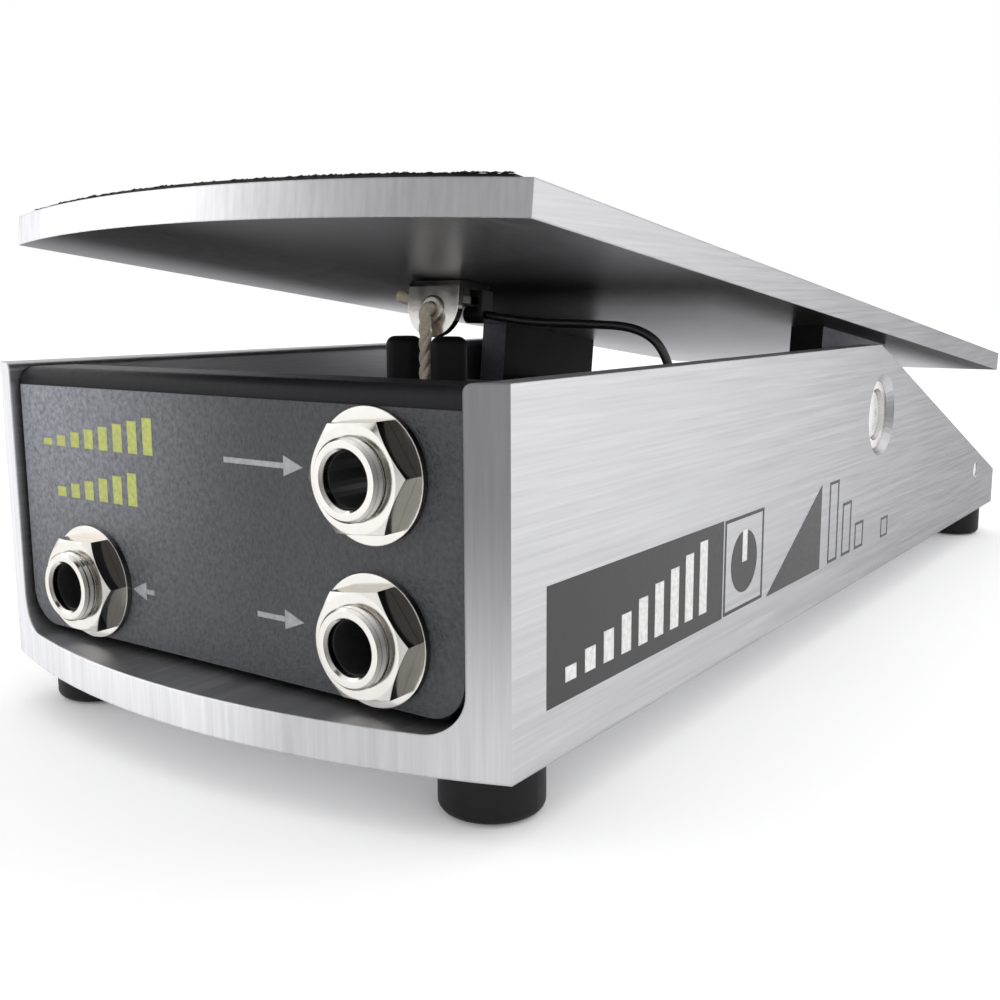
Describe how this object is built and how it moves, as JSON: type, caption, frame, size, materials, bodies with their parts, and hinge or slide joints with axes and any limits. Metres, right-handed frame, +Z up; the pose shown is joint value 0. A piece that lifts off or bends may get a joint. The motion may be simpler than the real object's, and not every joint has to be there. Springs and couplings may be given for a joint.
{
  "type": "volume pedal",
  "caption": "Foot volume pedal: an aluminium channel on rubber feet with a rocking treadle that turns a control through a spring-tensioned cord, and jacks in its toe end.",
  "frame": {"origin": "middle of the footprint, on the surface that the feet stand on", "axes": "+X to the player's right side wall seen from the toe end, -Y towards the toe end with its jacks, +Y towards the heel, +Z up"},
  "size_m": [0.0888, 0.225, 0.0719],
  "materials": {
    "channel_aluminium": "brushed along its length",
    "treadle_aluminium": "brushed, sawn edges",
    "black_rubber": "matte moulded",
    "bright_steel": "turned and polished",
    "ear_black": "black satin coating",
    "grommet_metal": "dull grey eyelet",
    "black_steel": "black oxide",
    "bushing_bronze": "sintered bronze",
    "panel_steel": "dark satin coating",
    "overlay_vinyl": "fine leather-like texture",
    "nickel": "bright nickel plate",
    "insulator": "phenolic wafer",
    "grit_sheet": "coarse black grit",
    "spacer_plastic": "nylon",
    "cord_braid": "tight braid",
    "spring_steel": "drawn wire",
    "wire_black": "smooth insulation"
  },
  "bodies": {
    "base": {"chassis": "channel_aluminium", "feet": "black_rubber", "foot_screws": "bright_steel", "pivot_bushings": "bushing_bronze", "spring_post": "bright_steel", "jack_panel": "panel_steel", "panel_overlay": "overlay_vinyl", "jack_in": "nickel", "jack_out": "nickel", "jack_tuner": "nickel", "jack_washers": "nickel", "jack_nuts": "nickel", "jack_insulators": "insulator", "jack_contacts": "nickel", "pot_bracket": "panel_steel", "pot_housing": "nickel", "pot_washer": "nickel", "pot_nut": "nickel", "pot_terminals": "nickel", "pot_bracket_screws": "bright_steel", "panel_screws": "bright_steel", "ground_screw": "bright_steel", "ground_lug": "nickel", "toe_bumpers": "black_rubber", "tension_spring": "spring_steel"},
    "treadle": {"treadle_plate": "treadle_aluminium", "tread_grip": "grit_sheet", "pivot_ear_left": "ear_black", "pivot_ear_right": "ear_black", "axle": "bright_steel", "axle_spacers": "spacer_plastic", "ear_set_screws": "black_steel", "ear_screws": "bright_steel", "bracket_screw": "bright_steel", "cord_bracket": "nickel", "bracket_eyelet": "grommet_metal", "bracket_nut": "nickel", "wire_terminal": "wire_black", "cord_front": "cord_braid", "cord_knot": "cord_braid", "ground_wire": "wire_black"},
    "pot_rotor": {"pot_shaft": "bright_steel", "cord_wraps": "cord_braid"},
    "cord_end": {"spring_eyelet": "nickel", "cord_rear": "cord_braid"}
  },
  "joints": [
    {"name": "treadle_hinge", "type": "hinge", "parent": "base", "child": "treadle", "pos_m": [0, 0.018, 0.03675], "axis": [1, 0, 0], "range_deg": [-14, 0], "deforming": ["cord_front", "ground_wire"]},
    {"name": "pot_spin", "type": "hinge", "parent": "base", "child": "pot_rotor", "pos_m": [0, -0.05838, 0.025], "axis": [1, 0, 0], "range_deg": [-270, 0]},
    {"name": "cord_pull", "type": "slide", "parent": "base", "child": "cord_end", "axis": [0, 0.9997, -0.0228], "range_m": [-0.02, 0], "deforming": ["tension_spring", "cord_rear"]}
  ],
  "couplings": [
    {"joint": "pot_spin", "follows": "treadle_hinge", "ratio": 18.79},
    {"joint": "cord_pull", "follows": "treadle_hinge", "m_per_rad": 0.0794}
  ]
}
